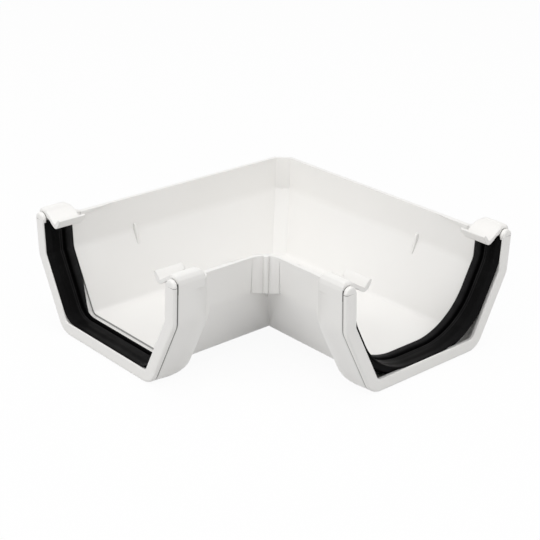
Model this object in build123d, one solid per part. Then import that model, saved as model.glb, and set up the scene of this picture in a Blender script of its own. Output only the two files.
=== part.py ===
from build123d import *
import math
import os

# Square-section rainwater gutter angle, 90 degrees, with a sealed socket at each end.
# Millimetres, +Z up. The right leg runs along +X and the left leg along -Y. Their
# centrelines cross at the origin while it is built, with the undersides of the sockets
# at z = 0. Then everything moves so that the origin is the middle of the base.

# Trough section, outer surface
RIM_HALF = 58.7
WALL_LEAN = 0.9
SLOPE_RUN = 19.2
RIM_Z = 64.5
WALL_HIGH = 20.8
SOCKET_DEPTH = 5.6
WALL = 2.3
FLOOR_RADIUS = 5.7
BEND_RADIUS = 12.0
RIM_EDGE = 0.5

# Socket section, which runs round the trough's at SOCKET_DEPTH and a little wider
SOCKET_SPREAD = 0.5
SOCKET_FLOOR_RADIUS = 11.2
SOCKET_BEND_RADIUS = 9.5
BELLY_FLOOR_RADIUS = 7.5
BELLY_BEND_RADIUS = 24.0

# Corner of the L
BACK_CHAMFER = 5.55
FRONT_RADIUS = 10.3
FRONT_RIB = 1.5

# Socket. LEG runs from the crossing of the centrelines to the face of the end frame, and
# the rest are lengths along the leg or into its walls.
LEG = 126.55
FRAME_PROUD = 2.9
FLARE_STRAIGHT = 9.45
FLARE_RUN = 13.4
FLARE_LOW_BACK = 2.2
FLARE_LOW_RUN = 14.6
STEP_BACK = 16.05
STEP_DROP = 1.15
LEDGE_LONG = 4.0
POCKET_LONG = 2.0
LEDGE_WALL = 2.2
SEAM = 0.35
SEAM_DEPTH = 0.9

# Saddle and snap clip over each wall of a socket. Heights are from the rim.
SADDLE_LONG = 17.6
SADDLE_RISE = 6.6
SADDLE_RADIUS = 5.6
CLIP_REACH = 14.6
CLIP_DROP = 3.0
CLIP_TIP_RISE = 3.1

# Retaining frame
FRAME_FACE = 7.5
FRAME_EDGE = 1.2
TONGUE = 3.0
TONGUE_THICK = 1.8

# Seal strip. The right one bows off the corners and slopes of its socket. The left one lies
# closer and is cut back along the floor.
SEAL_CLEAR = 0.15
LIP_CLEAR = 0.4
SEAL_FRONT_BACK = 0.9
BAND_STAND = 0.45
GROOVE_WIDE = 2.3
GROOVE_DEPTH = 1.7
LIP_STAND = 0.8
LIP_WIDE = 4.7
SEAL_TOP_DROP = 1.7
RIGHT_SEAL_RADIUS = 45.5
RIGHT_SEAL_BEND = 24.0
NEAR_SEAL_BOW = 1.0
FAR_SEAL_BOW = 2.1
LEFT_SEAL_RADIUS = 14.0
LEFT_SEAL_CUT = 4.2

# Small moulded features
STOP_BEYOND = 5.5
STOP_WIDE = 1.7
STOP_PROUD = 1.3
STOP_TOP_RISE = 4.7
STOP_LOW_DROP = 7.7
TAPER_LONG = 20.3
TAPER_HIGH = 2.4
TAPER_PROUD = 0.7
GATE_RADIUS = 0.9
GATE_PROUD = 0.3

BEND_HALF = RIM_HALF - WALL_LEAN
FLOOR_HALF = BEND_HALF - SLOPE_RUN
BEND_Z = RIM_Z - WALL_HIGH
RIM_END = LEG - FRAME_PROUD
FLARE_END = RIM_END - FLARE_STRAIGHT
FLARE_START = FLARE_END - FLARE_RUN
FLARE_LOW_END = FLARE_END - FLARE_LOW_BACK
FLARE_LOW_START = FLARE_LOW_END - FLARE_LOW_RUN
STEP_AT = RIM_END - STEP_BACK
LEDGE_END = STEP_AT + LEDGE_LONG
POCKET_BACK = STEP_AT - POCKET_LONG
SADDLE_START = RIM_END - SADDLE_LONG
SADDLE_Z = RIM_Z + SADDLE_RISE
CLIP_LOW_Z = RIM_Z - CLIP_DROP
CLIP_TIP_Z = RIM_Z + CLIP_TIP_RISE
RIM_IN = FRAME_FACE - SOCKET_DEPTH
SEAT = SOCKET_DEPTH - WALL
BEND_IN = SOCKET_BEND_RADIUS - SOCKET_DEPTH
FLOOR_IN = SOCKET_FLOOR_RADIUS - SOCKET_DEPTH
BACK = math.sqrt(0.5)
TROUGH = [(RIM_HALF, RIM_Z), (BEND_HALF, BEND_Z), (FLOOR_HALF, SOCKET_DEPTH)]


def unit(a, b):
    """Unit vector from a to b in the section plane."""
    size = math.hypot(b[0] - a[0], b[1] - a[1])
    return ((b[0] - a[0]) / size, (b[1] - a[1]) / size)


def line_meet(p, d, q, e):
    """Point where the line through p along d meets the line through q along e."""
    across = d[0] * e[1] - d[1] * e[0]
    s = ((q[0] - p[0]) * e[1] - (q[1] - p[1]) * e[0]) / across
    return (p[0] + d[0] * s, p[1] + d[1] * s)


def blend(a, b, share):
    """Point at the given share of the way from a to b."""
    return (a[0] + (b[0] - a[0]) * share, a[1] + (b[1] - a[1]) * share)


def wall_at(outline, n, z):
    """Half width at height z of an outline's upright wall, moved out by n."""
    rim, bend = outline[0], outline[1]
    lean = (rim[0] - bend[0]) / (rim[1] - bend[1])
    return rim[0] + n * math.hypot(1, lean) - (rim[1] - z) * lean


def offset_corners(outline, n, top):
    """Sharp corners of half a section moved out by n: rim, bend and floor."""
    rim, bend, low = outline
    along = unit(low, bend)
    side = (low[0] + along[1] * n, low[1] - along[0] * n)
    high = (wall_at(outline, n, top), top)
    upright = unit((wall_at(outline, n, bend[1]), bend[1]), high)
    knee = line_meet(side, along, high, upright)
    floor = line_meet(side, along, (0, low[1] - n), (1, 0))
    return [high, knee, floor]


MOUTH = [(y + SOCKET_SPREAD, z) for y, z in offset_corners(TROUGH, SOCKET_DEPTH, RIM_Z)]


def section_wire(near, far, bend_radius, floor_radius, x=0):
    """Open outline from the near rim round the floor to the far rim, at station x."""
    pts = [(-y, z) for y, z in near] + far[::-1]
    radii = [0, bend_radius, floor_radius, floor_radius, bend_radius]
    edges = []
    start = pts[0]
    for i in range(1, 5):
        u = unit(pts[i - 1], pts[i])
        v = unit(pts[i], pts[i + 1])
        half = math.acos(u[0] * v[0] + u[1] * v[1]) / 2
        reach = radii[i] * math.tan(half)
        bulge = radii[i] / math.cos(half) - radii[i]
        p = (pts[i][0] - u[0] * reach, pts[i][1] - u[1] * reach)
        q = (pts[i][0] + v[0] * reach, pts[i][1] + v[1] * reach)
        m = unit(u, v)
        mid = (pts[i][0] + m[0] * bulge, pts[i][1] + m[1] * bulge)
        edges.append(Line((x, *start), (x, *p)))
        edges.append(ThreePointArc((x, *p), (x, *mid), (x, *q)))
        start = q
    edges.append(Line((x, *start), (x, *pts[5])))
    return Wire(edges)


def section_face(corners, bend_radius, floor_radius, x=0):
    """Filled section at station x, closed straight across its top."""
    wire = section_wire(corners, corners, bend_radius, floor_radius, x)
    rim = corners[0]
    lid = Line((x, rim[0], rim[1]), (x, -rim[0], rim[1]))
    return make_face(Wire(wire.edges() + [lid]))


def core(outline, n, top, bend_radius, floor_radius, start, end):
    """Filled section moved out by n, run from one station to another."""
    corners = offset_corners(outline, n, top)
    face = section_face(corners, bend_radius + n, floor_radius + n, start)
    return extrude(face, amount=end - start, dir=(1, 0, 0))


def to_left(solid):
    """Mirror a right-leg solid onto the left leg, across the mitre plane."""
    return mirror(solid, about=Plane(origin=(0, 0, 0), x_dir=(0, 0, 1), z_dir=(1, 1, 0)))


def prism(points, start, length):
    """Prism along +X of a polygon given in the y-z plane."""
    face = make_face(Polyline([(start, y, z) for y, z in points], close=True))
    return extrude(face, amount=length, dir=(1, 0, 0))


def bowed(corners, bow):
    """Sharp corners of half a section with its slope moved in by bow."""
    rim, knee, floor = corners
    along = unit(floor, knee)
    side = (floor[0] - along[1] * bow, floor[1] + along[0] * bow)
    upright = unit(knee, rim)
    return [rim, line_meet(side, along, rim, upright), line_meet(side, along, floor, (1, 0))]


def along_u(points, bend_radius, floor_radius, drop=0, near_bow=0, far_bow=0):
    """Sweep a profile of (station, stand) points round the U of the socket.

    A stand of 0 is SOCKET_DEPTH inside the socket's outer surface.
    """
    corners = offset_corners(MOUTH, -SOCKET_DEPTH, RIM_Z - drop)
    near, far = bowed(corners, near_bow), bowed(corners, far_bow)
    path = section_wire(near, far, bend_radius, floor_radius)
    frame = Plane(origin=path @ 0, x_dir=(1, 0, 0), z_dir=path % 0)
    pts = [frame.from_local_coords((x, y, 0)) for x, y in points]
    return sweep(make_face(Polyline(pts, close=True)), path=path)


def rise(x, start, end):
    """Share of the flare's rise at station x, a quarter ellipse."""
    s = min(1.0, max(0.0, (x - start) / (end - start)))
    return math.sqrt(1 - (1 - s) ** 2)


def flare_section(x, inset):
    """Filled section of the flared socket's outside at station x."""
    high = rise(x, FLARE_START, FLARE_END)
    low = rise(x, FLARE_LOW_START, FLARE_LOW_END)
    trough = offset_corners(TROUGH, -inset, RIM_Z)
    mouth = offset_corners(MOUTH, -inset, RIM_Z)
    slope_low = blend(trough[2], mouth[2], low)
    slope = unit(slope_low, blend(trough[1], mouth[1], low))
    rim = blend(trough[0], mouth[0], high)
    upright = unit(blend(trough[1], mouth[1], high), rim)
    knee = line_meet(slope_low, slope, rim, upright)
    end = max(0.0, (x - FLARE_END) / (RIM_END - FLARE_END))
    bend = BEND_RADIUS + (BELLY_BEND_RADIUS - BEND_RADIUS) * low
    bend += (SOCKET_BEND_RADIUS - BELLY_BEND_RADIUS) * end
    floor = FLOOR_RADIUS + (BELLY_FLOOR_RADIUS - FLOOR_RADIUS) * low
    floor += (SOCKET_FLOOR_RADIUS - BELLY_FLOOR_RADIUS) * end
    return section_face([rim, knee, slope_low], bend, floor, x)


def mitre_side():
    """Half space on the right leg's side of the mitre plane."""
    return Rot(0, 0, -45) * Pos(0, 300, 0) * Box(900, 600, 500)


def back_limit(n):
    """Half space in front of the chamfered back corner of the L."""
    rim, knee, floor = offset_corners(TROUGH, n, RIM_Z + 20)
    cut = [(p[0] / BACK - BACK_CHAMFER + n - n / BACK, p[1]) for p in (floor, knee, rim)]
    pts = [(-400, -20), (cut[0][0] - 12, -20)] + cut + [(-400, RIM_Z + 20)]
    face = make_face(Polyline([(-400, s, z) for s, z in pts], close=True))
    return Rot(0, 0, 45) * extrude(face, amount=800, dir=(1, 0, 0))


def both_legs(n, top, reach):
    """Filled section of both legs, mitred and with its chamfered back corner."""
    leg = core(TROUGH, n, top, BEND_RADIUS, FLOOR_RADIUS, -100, reach) & mitre_side()
    return (leg + to_left(leg)) & back_limit(n)


def socket():
    """Flared socket shell of the right leg, with the seat, ledge and step inside."""
    span = FLARE_END - FLARE_LOW_START
    stations = [FLARE_LOW_START + span * (1 - math.cos(math.radians(9 * i))) for i in range(10)]
    stations += [FLARE_END, RIM_END - RIM_EDGE]
    sections = [flare_section(x, 0) for x in stations] + [flare_section(RIM_END, RIM_EDGE)]
    shell = loft(sections, ruled=True)
    ledge = core(TROUGH, -STEP_DROP, RIM_Z + 1, BEND_RADIUS, FLOOR_RADIUS, STEP_AT, LEDGE_END + 1)
    inside = SOCKET_DEPTH - SEAT
    bend, floor = SOCKET_BEND_RADIUS, SOCKET_FLOOR_RADIUS
    mouth = core(MOUTH, -inside, RIM_Z + 1, bend, floor, LEDGE_END, RIM_END + 1)
    pocket = [(POCKET_BACK, LEDGE_WALL - STEP_DROP), (LEDGE_END + 0.5, LEDGE_WALL - STEP_DROP)]
    pocket += [(LEDGE_END + 0.5, SEAT), (POCKET_BACK + 1.5, SEAT - 1.0)]
    return shell - ledge - mouth - along_u(pocket, BEND_IN, FLOOR_IN)


def hood_points():
    """Outer outline of the saddle over the far wall, down to the wall it stands on."""
    side = wall_at(MOUTH, 0, SADDLE_Z - SADDLE_RADIUS)
    points = [(wall_at(MOUTH, 0, RIM_Z - 4), RIM_Z - 4)]
    for angle in (0, 25, 50, 70, 90):
        turn = math.radians(angle)
        y = side - 0.75 * SADDLE_RADIUS * (1 - math.cos(turn))
        points.append((y, SADDLE_Z - SADDLE_RADIUS * (1 - math.sin(turn))))
    return points


def clip_points():
    """Snap clip from the saddle's top down to the low point and up to the lip."""
    root = RIM_HALF - 1.1
    tip = RIM_HALF - CLIP_REACH
    low = tip + 5.0
    top = [(root + 1.5, SADDLE_Z - 0.6), (root, SADDLE_Z - 2.0), (root - 1.6, SADDLE_Z - 3.1)]
    top += [(root - 5.0, SADDLE_Z - 5.4), (low - 0.1, CLIP_LOW_Z + 2.1)]
    top.append((tip + 2.0, CLIP_TIP_Z - 0.8))
    top += [(tip + 1.1, CLIP_TIP_Z), (tip, CLIP_TIP_Z - 0.7), (tip + 1.2, CLIP_LOW_Z + 2.7)]
    top += [(tip + 2.7, CLIP_LOW_Z + 0.7), (low - 0.6, CLIP_LOW_Z), (low + 0.8, CLIP_LOW_Z + 0.1)]
    top += [(low + 3.3, CLIP_LOW_Z + 1.5), (low + 5.4, CLIP_LOW_Z + 3.3)]
    return top


def arch_points():
    """Underside of the saddle, from the clip's root over to the seat's wall."""
    radius = FRAME_FACE / 2
    mid = wall_at(MOUTH, -radius, RIM_Z)
    pts = []
    for i in range(0, 7):
        angle = math.radians(150 - i * 25)
        pts.append((mid + radius * math.cos(angle) * 0.62, RIM_Z + radius * math.sin(angle)))
    return pts


def far_hood(clip):
    """Closed outline of the saddle over the far wall, with or without its clip."""
    outer = hood_points()
    if clip:
        foot = [(wall_at(MOUTH, -WALL, z), z) for z in (RIM_Z, RIM_Z - 4)]
        return outer + clip_points() + arch_points() + foot
    inside = wall_at(TROUGH, -WALL, RIM_Z)
    closed = [(inside + 2.2, SADDLE_Z - 1.0), (inside, SADDLE_Z - 3.2)]
    return outer + closed + [(wall_at(TROUGH, -WALL, RIM_Z - 4), RIM_Z - 4)]


def saddle_side():
    """Domed outline of the saddle seen across the leg, as (station, height) points."""
    rise = [(0, 0.34), (0.02, 0.6), (0.06, 0.76), (0.13, 0.86), (0.24, 0.94), (0.38, 0.99)]
    rise += [(0.53, 1.0), (0.68, 0.99), (0.82, 0.95), (0.93, 0.88), (0.975, 0.8), (1, 0.67)]
    return [(SADDLE_START + SADDLE_LONG * s, RIM_Z + SADDLE_RISE * t) for s, t in rise]


def saddle(side):
    """Saddle and snap clip over one wall of the right leg's socket."""
    plain = [(side * y, z) for y, z in far_hood(False)]
    hooked = [(side * y, z) for y, z in far_hood(True)]
    end_wall = prism(plain, SADDLE_START, STEP_AT - SADDLE_START)
    block = prism(hooked, SADDLE_START, SADDLE_LONG) + end_wall
    low = RIM_Z - 2 * SADDLE_RISE
    dome = [(SADDLE_START, low)] + saddle_side() + [(RIM_END, low)]
    face = make_face(Polyline([(x, side * RIM_HALF / 2, z) for x, z in dome], close=True))
    return block & extrude(face, amount=RIM_HALF, dir=(0, side, 0))


def front_corner():
    """Rounded fill and its rib where the two near walls meet, above their bend."""
    w = RIM_HALF
    r = FRONT_RADIUS
    mid = w + r * (1 - BACK)
    pts = [(w - 1, -w + 1), (w + r, -w + 1), (w + r, -w)]
    patch = Polyline([(x, y, 0) for x, y in pts])
    arc = ThreePointArc((w + r, -w, 0), (mid, -mid, 0), (w, -w - r, 0))
    back = Polyline([(w, -w - r, 0), (w - 1, -w - r, 0), (w - 1, -w + 1, 0)])
    face = make_face(Wire(patch.edges() + arc.edges() + back.edges()))
    fill = Pos(0, 0, BEND_Z - 6) * extrude(face, amount=RIM_Z - BEND_Z + 6, dir=(0, 0, 1))
    rib = Pos(mid + 0.2, -mid - 0.2, BEND_Z - 6) * Cylinder(
        FRONT_RIB, RIM_Z - BEND_Z + 6, align=(Align.CENTER, Align.CENTER, Align.MIN)
    )
    reach = 2.4 * r
    cut = [(0, 0), (0, BEND_Z - 4), (reach, BEND_Z - 4 + reach / 2), (reach, 0)]
    face = make_face(Polyline([(-w, -s, z) for s, z in cut], close=True))
    under = Pos(w - 0.6, -w + 0.6, 0) * Rot(0, 0, 45) * extrude(face, amount=2 * w, dir=(1, 0, 0))
    return fill + rib - under


def front_hollow():
    """Rounding inside the trough behind the fill of the near corner."""
    w = wall_at(TROUGH, -WALL, RIM_Z)
    r = FRONT_RADIUS + WALL
    mid = w + r * (1 - BACK)
    corner = Polyline([(w, -w - r, 0), (w - 3, -w - r, 0), (w - 3, -w + 3, 0), (w + r, -w + 3, 0)])
    close = Polyline([(w + r, -w + 3, 0), (w + r, -w, 0)])
    arc = ThreePointArc((w + r, -w, 0), (mid, -mid, 0), (w, -w - r, 0))
    face = make_face(Wire(corner.edges() + close.edges() + arc.edges()))
    return Pos(0, 0, BEND_Z + 2) * extrude(face, amount=40, dir=(0, 0, 1))


def stop_pip():
    """Small tapered mark on the inside of the right leg's far wall."""
    high = BEND_Z + STOP_TOP_RISE
    low = BEND_Z - STOP_LOW_DROP
    top = wall_at(TROUGH, -WALL, high)
    rim, knee, floor = offset_corners(TROUGH, -WALL, RIM_Z)
    foot = blend(floor, knee, (low - floor[1]) / (knee[1] - floor[1]))[0]
    pts = [(top + 0.8, high), (top - STOP_PROUD, high - 0.8), (foot - 0.1, low), (foot + 1.2, low)]
    return prism(pts, RIM_HALF + STOP_BEYOND - STOP_WIDE / 2, STOP_WIDE)


def rim_taper(side):
    """Thin strip along the top of a wall that grows towards the saddle."""
    inside = wall_at(TROUGH, -WALL, RIM_Z)
    start = FLARE_START - TAPER_LONG
    pts = [(start, RIM_Z), (FLARE_START + 1, RIM_Z), (FLARE_START + 1, RIM_Z - TAPER_HIGH)]
    face = make_face(Polyline([(x, side * (inside + 0.6), z) for x, z in pts], close=True))
    return extrude(face, amount=TAPER_PROUD + 0.6, dir=(0, -side, 0))


def gate_mark():
    """Small round gate mark on the inside of the back corner."""
    reach = wall_at(TROUGH, -WALL, BEND_Z) / BACK - BACK_CHAMFER - WALL + WALL / BACK
    at = Pos(-reach * BACK, reach * BACK, BEND_Z) * Rot(0, 0, 45) * Rot(90, 0, 0)
    return at * Cylinder(GATE_RADIUS, 2 * GATE_PROUD)


def angle_body():
    """The one-piece moulding: trough, two sockets, four saddles with clips."""
    leg = socket() + saddle(1) + saddle(-1)
    outer = both_legs(0, RIM_Z, FLARE_LOW_START + 1) + leg + to_left(leg) + front_corner()
    body = outer - both_legs(-WALL, RIM_Z + 0.01, STEP_AT) - front_hollow()
    leg = stop_pip() + rim_taper(1) + rim_taper(-1)
    return body + leg + to_left(leg) + gate_mark()


def retainer():
    """U-shaped end frame of the right leg, with full-round tops and a tongue."""
    back = RIM_END
    rebate = SOCKET_DEPTH - SEAM_DEPTH
    e = FRAME_EDGE
    b = e * (1 - BACK)
    outer = [(back, SEAT), (back, rebate), (back + SEAM, rebate), (back + SEAM, SOCKET_DEPTH)]
    outer += [(LEG - e, SOCKET_DEPTH), (LEG - b, SOCKET_DEPTH - b), (LEG, SOCKET_DEPTH - e)]
    outer += [(LEG, -RIM_IN + 0.4), (LEG - 0.4, -RIM_IN), (back + 0.6, -RIM_IN)]
    tongue = [(back + 0.6, SEAT - TONGUE_THICK), (back - TONGUE, SEAT - TONGUE_THICK)]
    tongue += [(back - TONGUE, SEAT)]
    ring = along_u(outer + tongue, BEND_IN, FLOOR_IN)
    return ring + frame_cap(1) + frame_cap(-1)


def frame_cap(side):
    """Full-round top on one upright of the end frame."""
    radius = FRAME_FACE / 2
    e = FRAME_EDGE
    b = e * (1 - BACK)
    mid = wall_at(MOUTH, -radius, RIM_Z)
    pts = [(RIM_END + SEAM, 0), (LEG, 0), (LEG, radius - e), (LEG - b, radius - b)]
    pts += [(LEG - e, radius), (RIM_END + SEAM, radius)]
    face = make_face(Polyline([(x, side * (mid + r), RIM_Z) for x, r in pts], close=True))
    axis = Axis((0, side * mid, RIM_Z), (side, 0, 0))
    return revolve(face, axis=axis, revolution_arc=180)


def seal_profile():
    """Seal section as (station, stand) points, its lip lying over the ledge."""
    front = LEG - SEAL_FRONT_BACK
    behind = LEDGE_END + SEAL_CLEAR
    tongue_end = RIM_END - TONGUE - SEAL_CLEAR
    band = -RIM_IN - BAND_STAND
    lip = band - LIP_STAND
    under = -STEP_DROP - SOCKET_SPREAD - LIP_CLEAR
    lip_start = STEP_AT + SEAL_CLEAR
    groove = lip_start + LIP_WIDE
    base = [(tongue_end, SEAT - 0.05), (tongue_end, SEAT - TONGUE_THICK - SEAL_CLEAR)]
    base += [(RIM_END + 0.45, SEAT - TONGUE_THICK - SEAL_CLEAR), (RIM_END + 0.45, -RIM_IN - 0.05)]
    top = [(front, -RIM_IN - 0.05), (front, band + 0.25), (front - 0.3, band)]
    top += [(groove + GROOVE_WIDE, band), (groove + GROOVE_WIDE - 0.5, band + GROOVE_DEPTH)]
    top += [(groove + 0.5, band + GROOVE_DEPTH), (groove, lip + 0.5), (groove - 0.8, lip)]
    top += [(lip_start + 1.0, lip), (lip_start, lip + 1.0)]
    return base + top + [(lip_start, under), (behind, under), (behind, SEAT - 0.05)]


def seal(bend_radius, floor_radius, near_bow=0, far_bow=0):
    """Seal strip of a socket, from wall top to wall top."""
    profile = seal_profile()
    return along_u(profile, bend_radius, floor_radius, SEAL_TOP_DROP, near_bow, far_bow)


def floor_cut():
    """Piece cut off the back edge of a seal along the floor, which bares the ledge."""
    back = STEP_AT - 1
    start = STEP_AT + SEAL_CLEAR
    end = start + LEFT_SEAL_CUT
    wide = BEND_HALF - SLOPE_RUN / 2
    narrow = FLOOR_HALF - WALL
    pts = [(back, -wide), (start, -wide), (end, -narrow), (end, narrow), (start, wide), (back, wide)]
    return extrude(make_face(Polyline(pts, close=True)), amount=BEND_Z, dir=(0, 0, 1))


os.makedirs("parts", exist_ok=True)
nodes = {
    "angle_body": angle_body(),
    "seal_retainer_right": retainer(),
    "seal_retainer_left": to_left(retainer()),
    "gutter_seal_right": seal(RIGHT_SEAL_BEND, RIGHT_SEAL_RADIUS, NEAR_SEAL_BOW, FAR_SEAL_BOW),
    "gutter_seal_left": to_left(seal(BEND_IN, LEFT_SEAL_RADIUS) - floor_cut()),
}
body_box = nodes["angle_body"].bounding_box()
middle = (LEG + body_box.min.X) / 2
for name, shape in nodes.items():
    placed = Pos(-middle, middle, 0) * shape
    export_step(placed, os.path.join("parts", name + ".step"))
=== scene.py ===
import math

import bpy
from mathutils import Matrix, Vector


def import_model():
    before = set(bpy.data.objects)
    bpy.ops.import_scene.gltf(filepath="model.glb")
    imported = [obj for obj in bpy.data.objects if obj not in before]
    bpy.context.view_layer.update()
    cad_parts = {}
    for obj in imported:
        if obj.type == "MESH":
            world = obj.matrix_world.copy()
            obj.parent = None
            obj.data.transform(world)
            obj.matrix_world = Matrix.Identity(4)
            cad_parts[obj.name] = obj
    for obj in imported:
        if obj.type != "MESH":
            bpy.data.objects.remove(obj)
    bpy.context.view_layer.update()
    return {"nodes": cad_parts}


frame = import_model()

# Lengths are in metres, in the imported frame. These are places along each leg.
SEAM_AT = 0.09297
STEP_AT = 0.07675
SEAL_START = 0.0769
SEAL_END = 0.0919
LEG_MIDDLE = 0.0309

# Painted shade in the seams and on the step, from solid to faded out, as distances from the middle
# of its line, and how dark it is.
SEAM_SHADE_FADE = (0.0003, 0.0006)
STEP_SHADE_FADE = (0.0002, 0.0003)
RIGHT_SEAM_SHADE = 0.32
LEFT_SEAM_SHADE = 0.17
STEP_SHADE = 0.4
# A surface is on a clip where its height passes its distance from the leg's middle by this.
CLIP_RISE = (0.0015, 0.0025)

# Colour stops over a noise, and painted highlights on the lip and ribs and painted shade in the
# grooves, across a seal from its lip to its front.
WHITE_TINTS = [(0.3, (0.886, 0.874, 0.851)), (0.7, (0.896, 0.886, 0.866))]
BLACK_TINTS = [(0.35, (0.0155, 0.0152, 0.0157)), (0.75, (0.0262, 0.0255, 0.0262))]
SEAL_PAINTED_HIGHLIGHT_AND_SHADE = [
    (0.03, 0.6), (0.08, 1.0), (0.26, 0.66), (0.33, 0.14), (0.455, 0.14), (0.49, 1.0),
    (0.53, 0.1), (0.57, 0.8), (0.61, 0.22), (0.9, 0.22), (0.97, 0.36)]

FLOOR_SIZE = 6.0
FLOOR_DROP = 0.0002
FLOOR_GLOW = 0.94
WORLD_LIGHT = 0.49

# The photograph's viewpoint: angles in degrees, lens and sensor in millimetres.
AZIMUTH, ELEVATION, ROLL = 48.35, 23.72, 0.854
TARGET = (0.01344, -0.01252, 0.0452)
DISTANCE = 0.74045
LENS = 88.17
SENSOR = 36


def node(tree, kind, at, **settings):
    """Adds a shader node with its plain settings."""
    n = tree.nodes.new(kind)
    n.location = at
    for key, value in settings.items():
        setattr(n, key, value)
    return n


def maths(tree, operation, at, *values):
    """Math node over links and plain numbers."""
    n = node(tree, "ShaderNodeMath", at, operation=operation)
    for socket, value in zip(n.inputs, values):
        if isinstance(value, float):
            socket.default_value = value
        else:
            tree.links.new(value, socket)
    return n.outputs[0]


def most(tree, a, b, at):
    """The larger of two values."""
    return maths(tree, "MAXIMUM", at, a, b)


def away(tree, value, at, place):
    """Distance of a coordinate from a place on its axis."""
    off = maths(tree, "SUBTRACT", at, value, place)
    return maths(tree, "ABSOLUTE", (at[0] + 180, at[1]), off)


def mapped(tree, value, at, old, new):
    """A value taken from one range to another, and held at its ends."""
    n = node(tree, "ShaderNodeMapRange", at)
    for key, number in zip(("From Min", "From Max", "To Min", "To Max"), (*old, *new)):
        n.inputs[key].default_value = number
    tree.links.new(value, n.inputs["Value"])
    return n.outputs["Result"]


def split(tree, vector, at):
    """The three parts of a vector."""
    n = node(tree, "ShaderNodeSeparateXYZ", at)
    tree.links.new(vector, n.inputs[0])
    return n.outputs


def times(tree, a, b, at):
    """Two colours multiplied."""
    n = node(tree, "ShaderNodeMix", at, data_type="RGBA", blend_type="MULTIPLY")
    n.inputs["Factor"].default_value = 1.0
    tree.links.new(a, n.inputs[6])
    tree.links.new(b, n.inputs[7])
    return n.outputs[2]


def ramp(tree, fac, at, stops):
    """Colour ramp over a factor, with (position, grey or colour) stops."""
    n = node(tree, "ShaderNodeValToRGB", at)
    elements = n.color_ramp.elements
    while len(elements) < len(stops):
        elements.new(0.5)
    for element, (place, colour) in zip(elements, stops):
        rgb = (colour,) * 3 if isinstance(colour, float) else colour
        element.position = place
        element.color = (*rgb, 1)
    tree.links.new(fac, n.inputs["Fac"])
    return n.outputs["Color"]


def noise(tree, coord, at, scale, detail=2.0, rough=0.5):
    """Noise over object space; scale is in cycles per metre."""
    n = node(tree, "ShaderNodeTexNoise", at)
    n.inputs["Scale"].default_value = scale
    n.inputs["Detail"].default_value = detail
    n.inputs["Roughness"].default_value = rough
    tree.links.new(coord, n.inputs["Vector"])
    return n.outputs["Fac"]


def bump(tree, height, at, strength, distance, below):
    """Bump over another normal; distance is in metres."""
    n = node(tree, "ShaderNodeBump", at)
    n.inputs["Strength"].default_value = strength
    n.inputs["Distance"].default_value = distance
    tree.links.new(height, n.inputs["Height"])
    tree.links.new(below, n.inputs["Normal"])
    return n.outputs["Normal"]


def worn_edge(tree, at, radius):
    """Normal that rounds the edges by a radius in metres."""
    n = node(tree, "ShaderNodeBevel", at, samples=6)
    n.inputs["Radius"].default_value = radius
    return n.outputs["Normal"]


def seam_painted_shade(tree, along, across, z, side, high, shade):
    """Painted shade in the seam of one end frame, and none on the clips over it, as a factor."""
    off = away(tree, along, (-1700, high), side * SEAM_AT)
    line = mapped(tree, off, (-1300, high), SEAM_SHADE_FADE, (shade, 1.0))
    out = away(tree, across, (-1700, high - 250), side * LEG_MIDDLE)
    rise = maths(tree, "SUBTRACT", (-1300, high - 250), z, out)
    clip = mapped(tree, rise, (-1100, high - 250), CLIP_RISE, (0.0, 1.0))
    return most(tree, line, clip, (-900, high))


def step_painted_shade(tree, y):
    """Painted shade on the left socket's step, which faces -Y, as a factor."""
    normal = node(tree, "ShaderNodeNewGeometry", (-1900, 700)).outputs["True Normal"]
    facing = split(tree, normal, (-1700, 700))["Y"]
    aside = mapped(tree, facing, (-1300, 700), (-0.8, -0.6), (0.0, 1.0))
    off = away(tree, y, (-1700, 900), -STEP_AT)
    beyond = mapped(tree, off, (-1300, 900), STEP_SHADE_FADE, (0.0, 1.0))
    unshaded = most(tree, beyond, aside, (-1100, 800))
    return mapped(tree, unshaded, (-900, 800), (0.0, 1.0), (STEP_SHADE, 1.0))


def painted_seam_and_step_shade(tree, coord):
    """Painted shade of both seams and of the step, as a factor."""
    x, y, z = split(tree, coord, (-1900, 1400))
    right = seam_painted_shade(tree, x, y, z, 1, 1700, RIGHT_SEAM_SHADE)
    left = seam_painted_shade(tree, y, x, z, -1, 1200, LEFT_SEAM_SHADE)
    return times(tree, times(tree, right, left, (-700, 1300)), step_painted_shade(tree, y), (-500, 1000))


def start_material(name):
    """New material with its tree and shader."""
    m = bpy.data.materials.new(name)
    m.use_nodes = True
    return m, m.node_tree, m.node_tree.nodes["Principled BSDF"]


def object_space(tree):
    """Coordinates that are fixed to the part, in metres."""
    return node(tree, "ShaderNodeTexCoord", (-1400, 0)).outputs["Object"]


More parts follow.
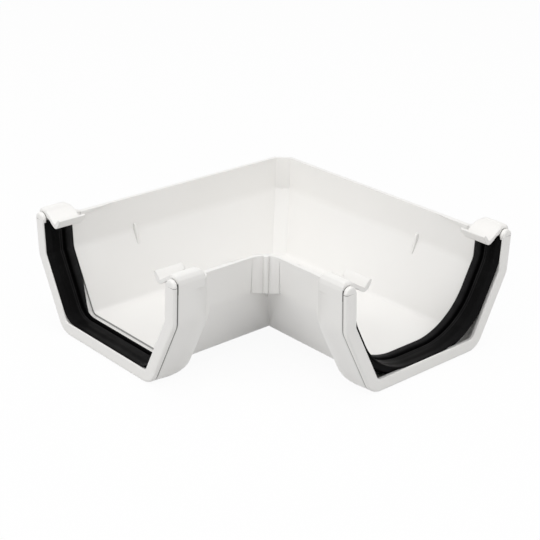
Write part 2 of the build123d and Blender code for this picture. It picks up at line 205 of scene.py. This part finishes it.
def white_plastic():
    """Glossy warm white uPVC: faint colour drift, painted shade in its slots, seams and on the left
    step, soft waviness and fine grain.
    """
    m, t, shader = start_material("white_upvc")
    coord = object_space(t)
    tint = ramp(t, noise(t, coord, (-1100, 500), 16.0), (-800, 500), WHITE_TINTS)
    # Painted shade: occlusion within 1.6 mm darkens the colour in slots and seams.
    near = node(t, "ShaderNodeAmbientOcclusion", (-1100, 200), samples=12)
    near.inputs["Distance"].default_value = 0.0016
    painted_slot_shade = ramp(t, near.outputs["AO"], (-800, 200), [(0.28, 0.02), (0.5, 1.0)])
    # The painted shade of the seams and the step joins the slot shade here.
    shade = times(t, painted_slot_shade, painted_seam_and_step_shade(t, coord), (-500, 200))
    t.links.new(times(t, tint, shade, (-250, 400)), shader.inputs["Base Color"])
    haze = noise(t, coord, (-1100, -100), 45.0, 4.0, 0.6)
    rough = ramp(t, haze, (-800, -100), [(0.3, 0.28), (0.75, 0.33)])
    t.links.new(rough, shader.inputs["Roughness"])
    edge = worn_edge(t, (-1100, -750), 0.0007)
    grain = noise(t, coord, (-1100, -550), 2400.0)
    wave = noise(t, coord, (-1100, -350), 42.0, 1.0)
    fine = bump(t, grain, (-700, -600), 0.08, 0.00003, edge)
    t.links.new(bump(t, wave, (-400, -450), 0.06, 0.0006, fine), shader.inputs["Normal"])
    return m


def black_rubber(name, along, side):
    """Black EPDM strip: painted highlights on its lip and ribs and painted shade in its grooves,
    fine grain, and ridges along its length.
    """
    m, t, shader = start_material(name)
    coord = object_space(t)
    place = split(t, coord, (-1100, 900))[along]
    width = mapped(t, place, (-900, 900), (side * SEAL_START, side * SEAL_END), (0.0, 1.0))
    # Painted highlights and painted shade in bands across the seal.
    painted_light_bands = ramp(t, width, (-700, 900), SEAL_PAINTED_HIGHLIGHT_AND_SHADE)
    tint = ramp(t, noise(t, coord, (-1100, 500), 150.0, 4.0, 0.6), (-800, 500), BLACK_TINTS)
    t.links.new(times(t, tint, painted_light_bands, (-300, 600)), shader.inputs["Base Color"])
    dull = noise(t, coord, (-1100, 100), 90.0, 3.0)
    rough = ramp(t, dull, (-800, 100), [(0.3, 0.36), (0.7, 0.46)])
    t.links.new(rough, shader.inputs["Roughness"])
    shader.inputs["Specular IOR Level"].default_value = 0.02
    ridges = node(t, "ShaderNodeTexWave", (-1100, -800), bands_direction=along)
    ridges.inputs["Scale"].default_value = 62.0
    ridges.inputs["Distortion"].default_value = 1.6
    ridges.inputs["Detail"].default_value = 1.0
    ridges.inputs["Detail Scale"].default_value = 0.4
    t.links.new(coord, ridges.inputs["Vector"])
    grain = noise(t, coord, (-1100, -250), 1800.0, 3.0)
    fine = bump(t, grain, (-700, -350), 0.2, 0.00005, worn_edge(t, (-1100, -500), 0.0003))
    ridged = bump(t, ridges.outputs["Fac"], (-400, -450), 0.45, 0.0004, fine)
    t.links.new(ridged, shader.inputs["Normal"])
    return m


def seen(tree):
    """1 for camera, mirror and clear rays, and 0 for light."""
    path = node(tree, "ShaderNodeLightPath", (-900, 500)).outputs
    clear = most(tree, path["Is Glossy Ray"], path["Is Transmission Ray"], (-700, 400))
    return most(tree, path["Is Camera Ray"], clear, (-500, 500))


def floor():
    """Plain white floor, which keeps a faint shadow of the object."""
    bpy.ops.mesh.primitive_plane_add(size=FLOOR_SIZE, location=(0, 0, -FLOOR_DROP))
    obj = bpy.context.object
    obj.name = "floor"
    m, t, shader = start_material("floor")
    shader.inputs["Roughness"].default_value = 0.9
    look = seen(t)
    colour = ramp(t, look, (-300, 200), [(0.0, 0.6), (1.0, 0.9)])
    t.links.new(colour, shader.inputs["Base Color"])
    glow = node(t, "ShaderNodeEmission", (0, -300))
    mix = node(t, "ShaderNodeMixShader", (300, 0))
    t.links.new(maths(t, "MULTIPLY", (0, 500), look, FLOOR_GLOW), mix.inputs["Fac"])
    t.links.new(shader.outputs[0], mix.inputs[1])
    t.links.new(glow.outputs[0], mix.inputs[2])
    t.links.new(mix.outputs[0], t.nodes["Material Output"].inputs["Surface"])
    obj.data.materials.append(m)


def world():
    """White surroundings: white where seen, softer as light."""
    w = bpy.data.worlds.new("studio")
    bpy.context.scene.world = w
    w.use_nodes = True
    t = w.node_tree
    level = mapped(t, seen(t), (-300, 300), (0.0, 1.0), (WORLD_LIGHT, 1.0))
    back = t.nodes["Background"]
    back.inputs["Color"].default_value = (1, 1, 1, 1)
    t.links.new(level, back.inputs["Strength"])


def lamp(name, at, aim, size, watts):
    """Soft square lamp at a point, turned to another."""
    data = bpy.data.lights.new(name, "AREA")
    data.size = size
    data.energy = watts
    obj = bpy.data.objects.new(name, data)
    bpy.context.collection.objects.link(obj)
    obj.location = at
    obj.rotation_euler = (Vector(aim) - Vector(at)).to_track_quat("-Z", "Y").to_euler()


def camera():
    """Camera at the photograph's viewpoint."""
    azimuth, elevation, roll = map(math.radians, (AZIMUTH, ELEVATION, ROLL))
    back = Vector((math.sin(azimuth) * math.cos(elevation),
                   -math.cos(azimuth) * math.cos(elevation), math.sin(elevation)))
    right = (-back).cross(Vector((0, 0, 1))).normalized()
    up = right.cross(-back)
    x = right * math.cos(roll) + up * math.sin(roll)
    y = up * math.cos(roll) - right * math.sin(roll)
    at = Vector(TARGET) + back * DISTANCE
    data = bpy.data.cameras.new("camera")
    data.sensor_width = SENSOR
    data.lens = LENS
    data.clip_start = 0.01
    obj = bpy.data.objects.new("camera", data)
    bpy.context.collection.objects.link(obj)
    obj.matrix_world = Matrix(((x.x, y.x, back.x, at.x), (x.y, y.y, back.y, at.y),
                               (x.z, y.z, back.z, at.z), (0, 0, 0, 1)))
    bpy.context.scene.camera = obj


plastic = white_plastic()
rubber = {
    "gutter_seal_right": black_rubber("black_rubber_right", "X", 1),
    "gutter_seal_left": black_rubber("black_rubber_left", "Y", -1),
}
for name, obj in frame["nodes"].items():
    for place in obj.material_slots:
        place.material = rubber.get(name, plastic)

floor()
world()
lamp("overhead", (0.0, 0.0, 1.3), (0, 0, 0), 1.4, 7.9)
lamp("left_side", (-0.15, -1.45, 0.75), (0, 0, 0.03), 1.0, 6.9)
lamp("right_side", (1.45, 0.15, 0.75), (0, 0, 0.03), 1.0, 4.1)
camera()
bpy.context.scene.view_settings.view_transform = "Standard"
